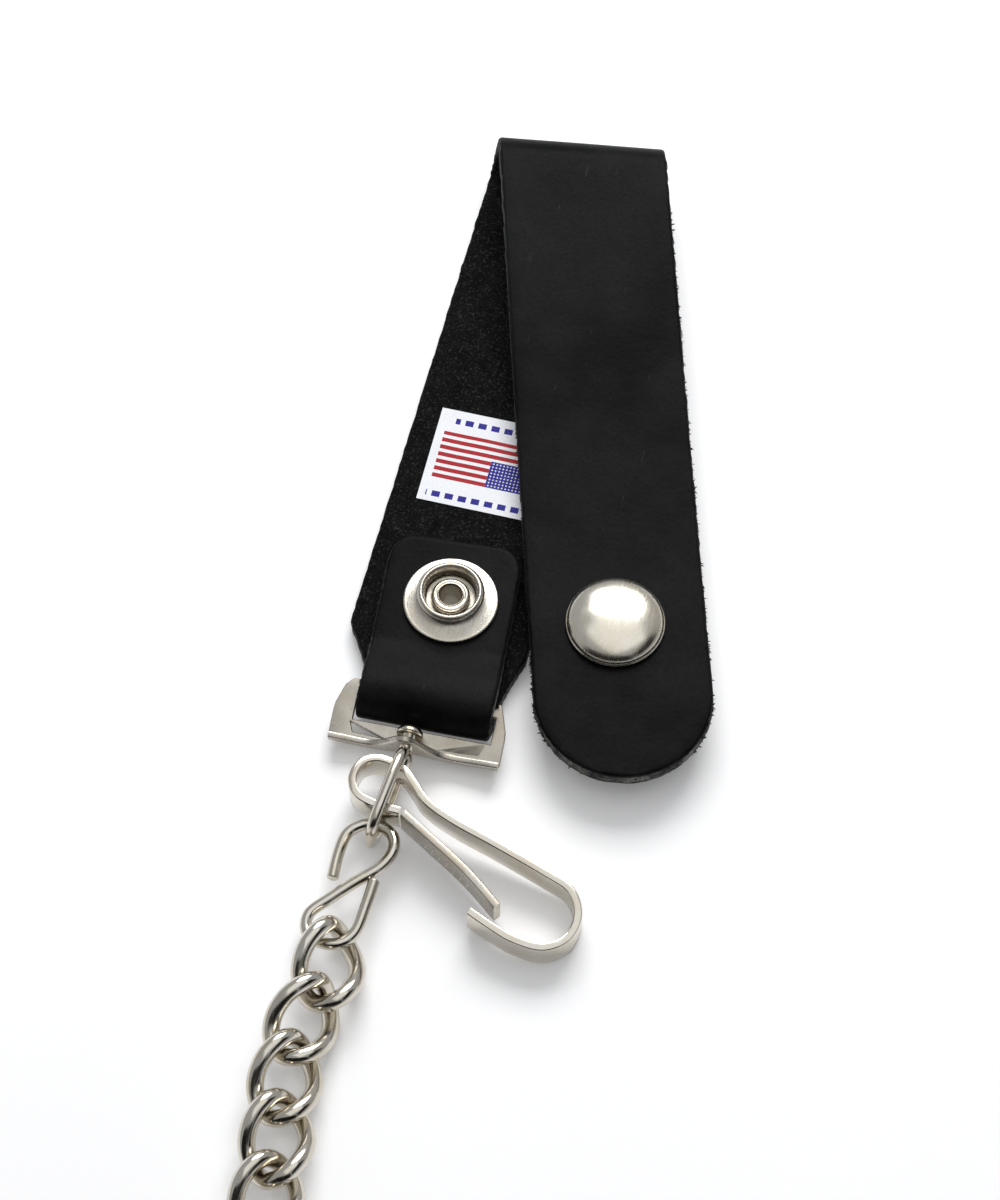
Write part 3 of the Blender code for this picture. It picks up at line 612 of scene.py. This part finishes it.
def back_rows():
    rows = []
    half_turn = TONGUE_LEAN / 2.0
    left, right = strap_limits(0.0)
    top = [FOLD_START + FOLD_ALONG * u for u in (left, right)]
    foot_left, foot_right = leaf_edges(60.0)
    for i in range(24):
        t = i / 24.0
        a = top[0].lerp(Vector((foot_left, 60.0, 0.0)), t)
        b = top[1].lerp(Vector((foot_right, 60.0, 0.0)), t)
        rows.append([a, b, a + Vector((0, 0, LEATHER)), b + Vector((0, 0, LEATHER))])
    ys = steps_between(60.0, SHOULDER_TOP, 64) + steps_between(SHOULDER_TOP, SHOULDER_FOOT, 22)[1:]
    for y in ys:
        left, right = leaf_edges(y)
        rows.append([Vector((x, y, z)) for z in (0.0, LEATHER) for x in (left, right)])
    along = Vector((math.cos(half_turn), math.sin(half_turn), 0.0))
    across = Vector((-math.sin(half_turn), math.cos(half_turn), 0.0))
    for i in range(33):
        a = math.pi * i / 32.0
        row = []
        for r in (BEND_INNER + LEATHER, BEND_INNER):
            middle = BEND_CENTRE - across * (r * math.sin(a)) + Vector((0, 0, -r * math.cos(a)))
            slide = along * (-math.tan(half_turn) * r * math.sin(a))
            row += [middle + slide + along * u for u in (-TONGUE_HALF, TONGUE_HALF)]
        rows.append(row)
    gaps = [99.0] * len(rows)
    up = Vector((-math.sin(TONGUE_LEAN), math.cos(TONGUE_LEAN), 0.0))
    side = Vector((math.cos(TONGUE_LEAN), math.sin(TONGUE_LEAN), 0.0))
    ds = steps_between(0.6, TONGUE_END - CORNER, 38)
    corner_angles = (15, 30, 42, 52, 60, 67, 73, 78, 82, 85.5, 88, 90)
    ds += [TONGUE_END - CORNER + CORNER * math.sin(math.radians(a)) for a in corner_angles]
    for d in ds:
        back = max(d - (TONGUE_END - CORNER), 0.0)
        half = TONGUE_HALF - CORNER + math.sqrt(max(CORNER**2 - back**2, 0.0))
        slope = tongue_height(d + 0.3) - tongue_height(d - 0.3)
        lean = Vector((0.0, -slope / 0.6, 1.0)).normalized()
        base = BEND_CENTRE + up * d
        base.z = tongue_height(d)
        grain = [base + side * u + lean * LEATHER for u in (-half, half)]
        flesh = [base + side * u for u in (-half, half)]
        rows.append(grain + flesh)
        gaps.append(TONGUE_END - d)
    return rows, gaps


def cut(piece, cutters):
    """Cuts closed shapes out of a finished piece, and removes them."""
    for verts, faces in cutters:
        mesh = bpy.data.meshes.new("cutter")
        mesh.from_pydata([Vector(v) * MM + SHAPE_AT for v in verts], [], faces)
        bm = bmesh.new()
        bm.from_mesh(mesh)
        bmesh.ops.remove_doubles(bm, verts=bm.verts, dist=1e-7)
        bmesh.ops.recalc_face_normals(bm, faces=bm.faces)
        bm.to_mesh(mesh)
        bm.free()
        cutter = bpy.data.objects.new("cutter", mesh)
        bpy.context.scene.collection.objects.link(cutter)
        mod = piece.modifiers.new("cut", "BOOLEAN")
        mod.operation = "DIFFERENCE"
        mod.solver = "EXACT"
        mod.object = cutter
        bpy.context.view_layer.update()
        done = bpy.data.meshes.new_from_object(piece.evaluated_get(bpy.context.evaluated_depsgraph_get()))
        piece.modifiers.remove(mod)
        piece.data = done
        bpy.data.objects.remove(cutter)


rows, gaps = back_rows()
back = leather_piece("leather_back", rows, gaps, "strap", ["strap_back"], seat=False)
eyelet_hole = lathe([(0, -1), (2.5, -1), (2.5, 12), (0, 12)], 32, (0, 0, 0))
eyelet_recess = lathe([(0, -1), (5.4, -1), (5.4, 0.9), (0, 0.9)], 32, (0, 0, 0))
cut(back, [eyelet_hole, eyelet_recess])

stops = steps_between(0.0, FOLD_ARC, 40)
rows = [strap_corners(s) for s in stops]
fold = leather_piece("leather_fold", rows, [99.0] * len(stops), None, ["strap_fold"], False)
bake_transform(fold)

end = FOLD_ARC + FLAP_LENGTH
reach = end - STRAP_HALF
stops = steps_between(FOLD_ARC, reach - 3.0, 100)
stops += [reach + STRAP_HALF * math.sin(math.radians(a)) for a in steps_between(-8, 89.4, 40)]
rows = [strap_corners(s) for s in stops]
flap = leather_piece("leather_flap", rows, [end - s for s in stops], "flap", ["strap_flap"], False)


def snap_centre():
    down = Vector((math.sin(2 * FOLD_TURN), -math.cos(2 * FOLD_TURN), 0.0))
    right = Vector((math.cos(2 * FOLD_TURN), math.sin(2 * FOLD_TURN), 0.0))
    return FOLD_START + down * 83.1 + right * -0.4 + FOLD_ALONG * (FOLD_ARC * math.tan(FOLD_TURN))


SNAP = snap_centre()
cut(flap, [lathe([(0, 2), (1.9, 2), (1.9, 12), (0, 12)], 24, (SNAP.x, SNAP.y, 0))])


def fuzz(name, side, first, last, count, body, seed, mat):
    """Loose fibres along a cut edge of the strap."""
    rng = random.Random(seed)
    verts = []
    faces = []
    for _ in range(count):
        s = rng.uniform(first, last)
        left, right = strap_limits(s)
        u = right if side > 0 else left
        depth = rng.uniform(0.15, 0.85)
        root = strap_point(s, u, depth)
        outward = (strap_point(s, u + side, depth) - root).normalized()
        along = (strap_point(s + 0.5, strap_limits(s + 0.5)[1 if side > 0 else 0], depth) - root).normalized()
        aim = (outward + along * rng.uniform(-0.9, 0.9) + Vector((0, 0, rng.uniform(-0.5, 0.5)))).normalized()
        curl = Vector((rng.uniform(-1, 1), rng.uniform(-1, 1), rng.uniform(-0.4, 0.4))) * 0.25
        length = rng.uniform(0.15, 0.50)
        thick = rng.uniform(0.07, 0.16)
        a = aim.orthogonal().normalized()
        b = aim.cross(a)
        start = len(verts)
        for step, size in ((-0.25, 1.0), (0.5, 0.8)):
            at = root + aim * (length * step) + curl * (step**2)
            for k in range(3):
                turn = 2.0 * math.pi * k / 3.0
                verts.append(at + (a * math.cos(turn) + b * math.sin(turn)) * thick * size)
        verts.append(root + aim * length + curl)
        for k in range(3):
            m = (k + 1) % 3
            faces.append((start + k, start + m, start + 3 + m, start + 3 + k))
            faces.append((start + 3 + k, start + 3 + m, start + 6))
        faces.append((start + 2, start + 1, start))
    return make(name, verts, faces, [mat], body, [], seat=False)


fuzz("flap_fuzz_right", 1, FOLD_ARC + 8.0, end - 1.5, 230, "flap", 7, FIBRE)
fuzz("flap_fuzz_left", -1, FOLD_ARC + 20.0, end - 1.5, 90, "flap", 8, FIBRE)
fuzz("flap_fuzz_end_left", -1, reach - 6.0, end - 0.2, 150, "flap", 9, EDGE)
fuzz("flap_fuzz_end_right", 1, reach + 4.0, end - 0.2, 60, "flap", 10, EDGE)


# ---------------------------------------------------------------- label


def add_label():
    low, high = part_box("label")
    count = 28
    rows = []
    for j in range(count + 1):
        top = []
        foot = []
        for i in range(count + 1):
            x = low.x + (high.x - low.x) * i / count
            y = low.y + (high.y - low.y) * j / count
            wave = 0.00006 * noise.noise(Vector((x * 220.0, y * 220.0, 0.0)))
            top.append((x, y, high.z + wave))
            foot.append((x, y, low.z))
        rows.append(top + list(reversed(foot)))
    verts, faces = loft([[(Vector(p) - SHAPE_AT) / MM for p in row] for row in rows])
    piece = make("printed_label", verts, faces, [label_print()], "strap", ["label"], smooth=False)
    layer = piece.data.uv_layers.new(name="flat")
    for loop in piece.data.loops:
        p = piece.data.vertices[loop.vertex_index].co
        layer.data[loop.index].uv = ((p.x - low.x) / (high.x - low.x), (p.y - low.y) / (high.y - low.y))
    return piece


add_label()


# ---------------------------------------------------------------- snap


def add_snap():
    top = FLAP_LOW + LEATHER + 0.3
    angles = [math.radians(a) for a in range(0, 91, 6)]
    dome = [(7.35 * math.sin(a), top + 0.45 + 2.55 * math.cos(a)) for a in angles]
    rim = [(7.5, top + 0.42), (7.55, top + 0.25), (7.48, top + 0.08), (7.3, top), (6.8, top + 0.05)]
    post = [(1.6, top + 0.1), (1.5, top - 2.0), (1.5, 1.5), (0.0, 1.5)]
    verts, faces = lathe(dome + rim + post, 96, (SNAP.x, SNAP.y, 0.0))
    make("cap_dome", verts, faces, [CAP], "flap", ["snap_cap"])
    socket = [(1.9, 3.9), (6.4, 3.9), (6.5, 3.4), (6.0, 0.4), (5.6, 0.0), (5.3, 0.3), (5.5, 1.0), (5.9, 1.5)]
    socket += [(5.5, 2.1), (5.5, 3.1), (2.1, 3.1), (2.1, 2.4), (1.9, 2.4)]
    profile = [(p.x, p.y) for p in smooth_path([(r, h, 0) for r, h in socket], 3, True)]
    verts, faces = lathe(profile, 64, (SNAP.x, SNAP.y, 0.0))
    make("socket_cup", verts, faces, [SATIN], "flap", ["snap_socket"])
    seat = STUD_SEAT
    stud = [(2.5, seat + 0.1), (6.6, seat), (7.1, seat)]
    stud += [(7.25, seat + 0.3), (7.1, seat + 0.5), (6.6, seat + 0.56)]
    stud += [(5.3, seat + 0.8), (4.5, seat + 1.2), (4.35, seat + 1.6), (4.6, seat + 2.1), (5.1, seat + 2.6)]
    stud += [(5.15, seat + 3.0), (4.8, seat + 3.5), (4.4, seat + 3.6), (4.1, seat + 3.2), (3.9, seat + 2.0)]
    stud += [(3.85, seat + 0.9), (2.5, seat + 0.75)]
    profile = [(p.x, p.y) for p in smooth_path([(r, h, 0) for r, h in stud], 4, True)]
    verts, faces = lathe(profile, 96, (0.0, 0.0, 0.0))
    make("stud_ring", verts, faces, [SATIN], "strap", ["snap_stud"])
    eyelet = [(1.8, 0.1), (5.0, 0.1), (5.0, 0.6), (2.2, 0.6), (2.2, seat + 1.05), (2.85, seat + 1.1)]
    eyelet += [(2.95, seat + 1.5), (2.6, seat + 1.95), (2.1, seat + 1.9), (1.8, seat + 1.4)]
    profile = [(p.x, p.y) for p in smooth_path([(r, h, 0) for r, h in eyelet], 4, True)]
    verts, faces = lathe(profile, 64, (0.0, 0.0, 0.0))
    make("eyelet_tube", verts, faces, [BRIGHT], "strap", ["snap_eyelet"])


add_snap()


# ---------------------------------------------------------------- plate and swivel


def plate_place(x, y, up):
    cx, cy, cz = BEND_CENTRE
    out = (y - cy) * math.cos(PLATE_TILT) - up * math.sin(PLATE_TILT)
    high = (y - cy) * math.sin(PLATE_TILT) + up * math.cos(PLATE_TILT)
    p = Matrix.Rotation(TONGUE_LEAN / 2.0, 3, "Z") @ Vector((x, out, 0.0))
    return Vector((p.x + cx + PLATE_SHIFT, p.y + cy, cz + high))


def pressed_sheet(outlines, thick, soft):
    """A flat sheet with holes and softened edges, as points and faces in millimetres."""
    curve = bpy.data.curves.new("sheet", "CURVE")
    curve.dimensions = "2D"
    curve.fill_mode = "BOTH"
    curve.extrude = thick / 2.0 - soft
    curve.bevel_depth = soft
    curve.bevel_resolution = 2
    curve.offset = -soft
    for outline in outlines:
        spline = curve.splines.new("POLY")
        spline.points.add(len(outline) - 1)
        for point, (x, y) in zip(spline.points, outline):
            point.co = (x, y, 0.0, 1.0)
        spline.use_cyclic_u = True
    holder = bpy.data.objects.new("sheet", curve)
    bpy.context.scene.collection.objects.link(holder)
    bpy.context.view_layer.update()
    mesh = bpy.data.meshes.new_from_object(holder.evaluated_get(bpy.context.evaluated_depsgraph_get()))
    verts = [v.co.copy() for v in mesh.vertices]
    faces = [tuple(f.vertices) for f in mesh.polygons]
    bpy.data.objects.remove(holder)
    return verts, faces


def add_plate():
    wing = [(13.2, -20.0), (13.1, -18.8), (12.7, -17.6), (12.4, -16.6), (12.1, -15.8)]
    outline = [(-13.2, PLATE_FOOT), (13.2, PLATE_FOOT)] + wing
    outline += [(11.7, -14.7), (11.2, -14.7), (11.2, -15.4), (-10.0, -15.4), (-10.0, -14.7), (-11.0, -14.7)]
    outline += [(-x, y) for x, y in reversed(wing)]
    slot = [(-10.0, -21.0), (11.2, -21.0), (11.2, -16.9), (-10.0, -16.9)]
    slit_left = [(-10.2, -21.4), (-9.6, -22.9), (-4.9, -23.1)]
    slit_right = [(10.2, -21.4), (4.9, -23.1), (9.6, -22.9)]
    verts, faces = pressed_sheet([outline, slot, slit_left, slit_right], PLATE_THICK, 0.22)
    verts = [plate_place(v.x, v.y, v.z) for v in verts]
    half = PLATE_THICK / 2.0
    rows = []
    count = 160
    for i in range(count + 1):
        x = -PLATE_HALF + 2.0 * PLATE_HALF * i / count
        swell = math.exp(-(((x - (POST.x - BEND_CENTRE.x)) / 3.3) ** 2))
        wave = 0.35 * math.cos(math.pi * (i * 18.0 / count) / 4.5) * (1.0 - swell)
        fall = -half - 0.35 + wave
        rise = half + 0.5 + wave + 4.4 * swell
        front = PLATE_FOOT + 0.45 + 0.2 * swell
        back_y = PLATE_FOOT - 1.1 + 0.45
        shift = 0.6 * swell
        row = []
        for k in range(16):
            a = 2.0 * math.pi * (k + 0.5) / 16.0
            cx = math.copysign(abs(math.cos(a)) ** 0.45, math.cos(a))
            cy = math.copysign(abs(math.sin(a)) ** 0.45, math.sin(a))
            lift = (cy + 1.0) / 2.0
            y = (front + back_y) / 2.0 + cx * (front - back_y) / 2.0 + shift * lift
            row.append(plate_place(x, y, fall + (rise - fall) * lift))
        rows.append(row)
    lip_verts, lip_faces = loft(rows)
    base = len(verts)
    verts = verts + lip_verts
    faces = faces + [tuple(base + k for k in face) for face in lip_faces]
    make("plate_pressing", verts, faces, [SATIN], "plate", ["loop_plate"], smooth=False)
    piece = bpy.data.objects["plate_pressing"]
    for face in piece.data.polygons:
        face.use_smooth = True
    piece.data.set_sharp_from_angle(angle=math.radians(28))


add_plate()


def add_swivel():
    span = (EYE_TOP - EYE_FOOT) / 2.0
    centre_y = (EYE_TOP + EYE_FOOT) / 2.0
    loop = []
    for i in range(112):
        a = 2.0 * math.pi * i / 112.0
        c = math.cos(a)
        s = math.sin(a)
        y = centre_y + span * math.copysign(abs(c) ** 0.6, c)
        z = POST.z + 4.6 * math.copysign(abs(s) ** 0.6, s)
        loop.append(Vector((POST.x - 0.10 * (EYE_TOP - y) + 0.06 * (z - POST.z), y, z)))
    verts, faces = wire(loop, 0.85, 16, closed=True)
    make("eye_wire", verts, faces, [BRIGHT], "swivel", ["swivel_eye"])
    angles = [math.radians(a) for a in range(0, 91, 10)]
    profile = [(2.05 * math.sin(a), HEAD_SEAT + 0.2 + 1.4 * math.cos(a)) for a in angles]
    profile += [(2.0, HEAD_SEAT), (1.1, HEAD_SEAT), (1.0, HEAD_SEAT - 0.1), (1.0, EYE_TOP + 1.25)]
    profile += [(0.9, EYE_TOP + 1.15), (0.0, EYE_TOP + 1.15)]
    verts, faces = lathe(profile, 48, (POST.x, 0.0, POST.z), axis="Y")
    make("rivet_post", verts, faces, [BRIGHT], "swivel", ["swivel_post"])
    neck = [(0.0, -25.3), (0.95, -25.4), (1.15, -25.9), (1.4, -26.6)]
    neck += [(1.45, -27.4), (1.25, -28.3), (0.8, -29.0), (0.0, -29.3)]
    profile = [(max(p.x, 0.0), p.y) for p in smooth_path([(r, h, 0) for r, h in neck], 4)]
    verts, faces = lathe(profile, 32, (POST.x, 0.0, POST.z), axis="Y")
    make("swivel_neck", verts, faces, [BRIGHT], "swivel", [], seat=False)


add_swivel()


# ---------------------------------------------------------------- clip


def clip_place(x, y, up):
    along = math.hypot(x - CLIP_RING[0], y - CLIP_RING[1])
    return Vector((x, y, 3.0 - 2.8 * min(along / 34.0, 1.05) + up))


def strip(path):
    """A flat strip standing on edge, with rolled corners."""
    pts = [Vector((p[0], p[1], 0.0)) for p in path]
    n = len(pts)
    soft = 0.28
    half = CLIP_THICK / 2.0
    corner = []
    corners = (
        (half - soft, CLIP_HEIGHT - soft, 0),
        (-half + soft, CLIP_HEIGHT - soft, 90),
        (-half + soft, soft, 180),
        (half - soft, soft, 270),
    )
    for cx, cy, start in corners:
        for a in (0, 30, 60, 90):
            t = math.radians(start + a)
            corner.append((cx + soft * math.cos(t), cy + soft * math.sin(t)))
    rows = []
    for i in range(n):
        t = (pts[min(i + 1, n - 1)] - pts[max(i - 1, 0)]).normalized()
        side = Vector((-t.y, t.x, 0.0))
        rows.append([clip_place(pts[i].x + side.x * c, pts[i].y + side.y * c, h) for c, h in corner])
    return loft(rows)


def add_clip():
    ring = [(1.3, -36.0), (-1.8, -35.9), (-5.2, -35.0), (-6.8, -32.6)]
    ring += [(-6.2, -29.8), (-3.6, -28.5), (0.0, -29.3)]
    leg = [(2.4, -31.3), (4.9, -33.6), (9.5, -35.5), (16.0, -37.3)]
    leg += [(24.0, -39.7), (28.4, -41.4), (30.3, -44.7)]
    nose = [(29.6, -48.7), (26.4, -51.0), (22.0, -50.9), (18.2, -49.7), (14.9, -48.4)]
    verts, faces = strip(smooth_path([(x, y, 0.0) for x, y in ring + leg + nose], 12))
    piece = make("clip_strip", verts, faces, [BRIGHT], "clip", ["clip_body"])
    piece.data.set_sharp_from_angle(angle=math.radians(25))
    gate = [(1.9, -36.2), (6.2, -38.6), (12.8, -42.4), (18.6, -46.6)]
    path = smooth_path([(x, y, 0.0) for x, y in gate], 16)
    verts, faces = strip(path)
    piece = make("gate_strip", verts, faces, [SATIN], "gate", ["clip_gate"])
    piece.data.set_sharp_from_angle(angle=math.radians(25))
    # plain slanted ribs pressed into the gate's outer side
    verts = []
    faces = []
    for k in range(7):
        at = path[16 + 3 * k]
        ahead = path[18 + 3 * k]
        t = (ahead - at).normalized()
        side = Vector((t.y, -t.x, 0.0))
        start = len(verts)
        for height, slide in ((1.3, 0.0), (CLIP_HEIGHT - 1.3, 0.7)):
            for wide in (-0.17, 0.17):
                for out in (CLIP_THICK / 2.0 - 0.05, CLIP_THICK / 2.0 + 0.12):
                    p = at + t * (slide + wide * (0.6 if out > CLIP_THICK / 2.0 else 1.0)) + side * out
                    verts.append(clip_place(p.x, p.y, height))
        quads = ((0, 1, 3, 2), (4, 6, 7, 5), (0, 4, 5, 1), (2, 3, 7, 6), (0, 2, 6, 4), (1, 5, 7, 3))
        faces += [tuple(start + i for i in quad) for quad in quads]
    make("gate_ribs", verts, faces, [BRIGHT], "gate", [], smooth=False, seat=False)


add_clip()


# ---------------------------------------------------------------- hooks and chain

HOOK_SHAPE = (
    (-6.1, -47.2), (-6.3, -43.0), (-5.8, -39.6), (-3.6, -37.8), (-1.0, -37.8), (1.0, -39.1), (1.6, -41.4),
    (0.4, -44.2), (-2.7, -47.2), (-5.6, -50.3), (-8.0, -53.2), (-7.6, -56.1), (-5.4, -57.3), (-2.6, -57.1),
    (-0.6, -55.0), (-0.1, -50.5), (0.1, -46.4),
)


def add_hook(name, middle, turn, body, node):
    shape = [(x - HOOK_MIDDLE.x, y - HOOK_MIDDLE.y) for x, y in HOOK_SHAPE]
    local = [Vector((x, y, HOOK_ROLL * x)) for x, y in shape]
    rot = Matrix.Rotation(turn, 3, "Z")
    path = [rot @ p + middle for p in smooth_path(local, 9)]
    verts, faces = wire(path, HOOK_WIRE / 2.0, WIRE_SIDES)
    return make(name, verts, faces, [BRIGHT], body, [node])


def link_path(centre, heading, roll, around):
    half_long = (LINK_LENGTH - LINK_WIRE) / 2.0
    half_wide = (LINK_WIDTH - LINK_WIRE) / 2.0
    turn = Matrix.Rotation(heading, 3, "Z")
    out = []
    for i in range(around):
        a = 2.0 * math.pi * i / around
        y = half_long * math.sin(a)
        x = half_wide * math.copysign(abs(math.cos(a)) ** 0.85, math.cos(a))
        twist = Matrix.Rotation(roll + LINK_TWIST * y / half_long, 3, "Y")
        out.append(turn @ (twist @ Vector((x, 0.0, 0.0)) + Vector((0.0, y, 0.0))) + centre)
    return out


def link_places():
    places = []
    for x, y, z, heading, roll in LINK_STARTS:
        places.append((Vector((x, y, z)), math.radians(heading), math.radians(roll)))
    at = places[-1][0].copy()
    course = places[-1][1] - math.pi / 2.0
    for i in range(TAIL_LINKS - 2):
        course += TAIL_TURN if i > 0 else 0.0
        at = at + LINK_PITCH * Vector((math.cos(course), math.sin(course), 0.0))
        places.append((at.copy(), course + math.pi / 2.0 + TAIL_TURN / 2.0, 0.0))
    anchor = places[2]
    here = places[-1]
    turn = here[1] - anchor[1] + math.pi
    spin = Matrix.Rotation(turn, 3, "Z")
    base = here[0].copy()
    base.z = anchor[0].z
    places[-2] = (places[-2][0], places[-2][1], -places[3][2])
    places[-1] = (base, here[1], -anchor[2])
    for near in (places[1], places[0]):
        places.append((base + spin @ (near[0] - anchor[0]), near[1] + turn - math.pi, -near[2]))
    return places


def add_chain():
    places = link_places()
    for i, (centre, heading, roll) in enumerate(places):
        verts, faces = wire(link_path(centre, heading, roll, 72), LINK_ROUND / 2.0, WIRE_SIDES, closed=True)
        node = "link_%02d" % (i + 1)
        make("chain_" + node, verts, faces, [BRIGHT], node, [node])
    add_hook("hook_wire", HOOK_MIDDLE, 0.0, "hook", "s_hook")
    first, first_heading, _ = places[0]
    last, last_heading, _ = places[-1]
    turn = last_heading - first_heading + math.pi
    end_at = last + Matrix.Rotation(turn, 3, "Z") @ (HOOK_MIDDLE - first)
    add_hook("end_hook_wire", end_at, turn, "end_hook", "end_hook")


add_chain()


# ---------------------------------------------------------------- table, light and camera


def add_table():
    mesh = bpy.data.meshes.new("table")
    corners = [(-3, -3, -0.0002), (3, -3, -0.0002), (3, 3, -0.0002), (-3, 3, -0.0002)]
    mesh.from_pydata(corners, [], [(0, 1, 2, 3)])
    mat, tree, shader, place = new_material("table_white")
    paper = noise_at(tree, place, 60.0, 3.0, 0.5)
    white = mix_colour(tree, paper, (0.90, 0.90, 0.905, 1), (0.93, 0.93, 0.93, 1))
    tree.links.new(white, shader.inputs["Base Color"])
    shader.inputs["Roughness"].default_value = 0.6
    shader.inputs["Specular IOR Level"].default_value = 0.2
    shader.inputs["Emission Color"].default_value = (1.0, 1.0, 1.0, 1.0)
    shader.inputs["Emission Strength"].default_value = 0.15
    mesh.materials.append(mat)
    table = bpy.data.objects.new("table", mesh)
    bpy.context.scene.collection.objects.link(table)


def add_card(name, corners):
    """A dark card on the near side, which gives the metal its dark bands."""
    mesh = bpy.data.meshes.new(name)
    mesh.from_pydata(corners, [], [(0, 1, 2, 3)])
    mat, tree, shader, place = new_material("card_black")
    cloth = noise_at(tree, place, 40.0, 2.0, 0.5)
    dark = mix_colour(tree, cloth, (0.010, 0.009, 0.008, 1), (0.020, 0.018, 0.016, 1))
    tree.links.new(dark, shader.inputs["Base Color"])
    shader.inputs["Roughness"].default_value = 0.9
    shader.inputs["Specular IOR Level"].default_value = 0.0
    mesh.materials.append(mat)
    card = bpy.data.objects.new(name, mesh)
    card.visible_camera = False
    card.visible_shadow = False
    bpy.context.scene.collection.objects.link(card)


def add_light(name, at, aim, size, power):
    data = bpy.data.lights.new(name, "AREA")
    data.shape = "RECTANGLE"
    data.size = size[0]
    data.size_y = size[1]
    data.energy = power
    light = bpy.data.objects.new(name, data)
    light.location = at
    light.rotation_euler = (Vector(aim) - Vector(at)).to_track_quat("-Z", "Y").to_euler()
    bpy.context.scene.collection.objects.link(light)


add_table()
add_card("card_near", [(-0.8, -0.75, 0.12), (0.8, -0.75, 0.12), (0.8, -0.75, 0.95), (-0.8, -0.75, 0.95)])
add_card("card_right", [(0.7, -0.6, 0.25), (0.7, 0.2, 0.25), (0.7, 0.2, 0.8), (0.7, -0.6, 0.8)])
add_light("softbox_far", (-0.06, 0.55, 0.60), (0, -0.02, 0), (0.60, 0.40), 6.0)
add_light("softbox_fill", (0.10, 0.10, 1.60), (0, -0.02, 0), (1.6, 1.6), 5.0)

world = bpy.data.worlds.new("studio")
world.use_nodes = True
world.node_tree.nodes["Background"].inputs["Color"].default_value = (0.95, 0.97, 1.0, 1.0)
world.node_tree.nodes["Background"].inputs["Strength"].default_value = 0.44
bpy.context.scene.world = world
bpy.context.scene.view_settings.view_transform = "Standard"

camera_data = bpy.data.cameras.new("camera")
camera_data.lens = 97.0
camera_data.sensor_width = 36.0
camera_data.clip_start = 0.01
camera = bpy.data.objects.new("camera", camera_data)
azimuth = math.radians(-13.7)
elevation = math.radians(62.0)
flat = math.cos(elevation)
looking = Vector((math.sin(azimuth) * flat, math.cos(azimuth) * flat, -math.sin(elevation)))
camera.location = SHAPE_AT + Vector((6.4, 5.4, 0.0)) * MM - looking * 0.5
camera.rotation_euler = looking.to_track_quat("-Z", "Y").to_euler()
bpy.context.scene.collection.objects.link(camera)
bpy.context.scene.camera = camera
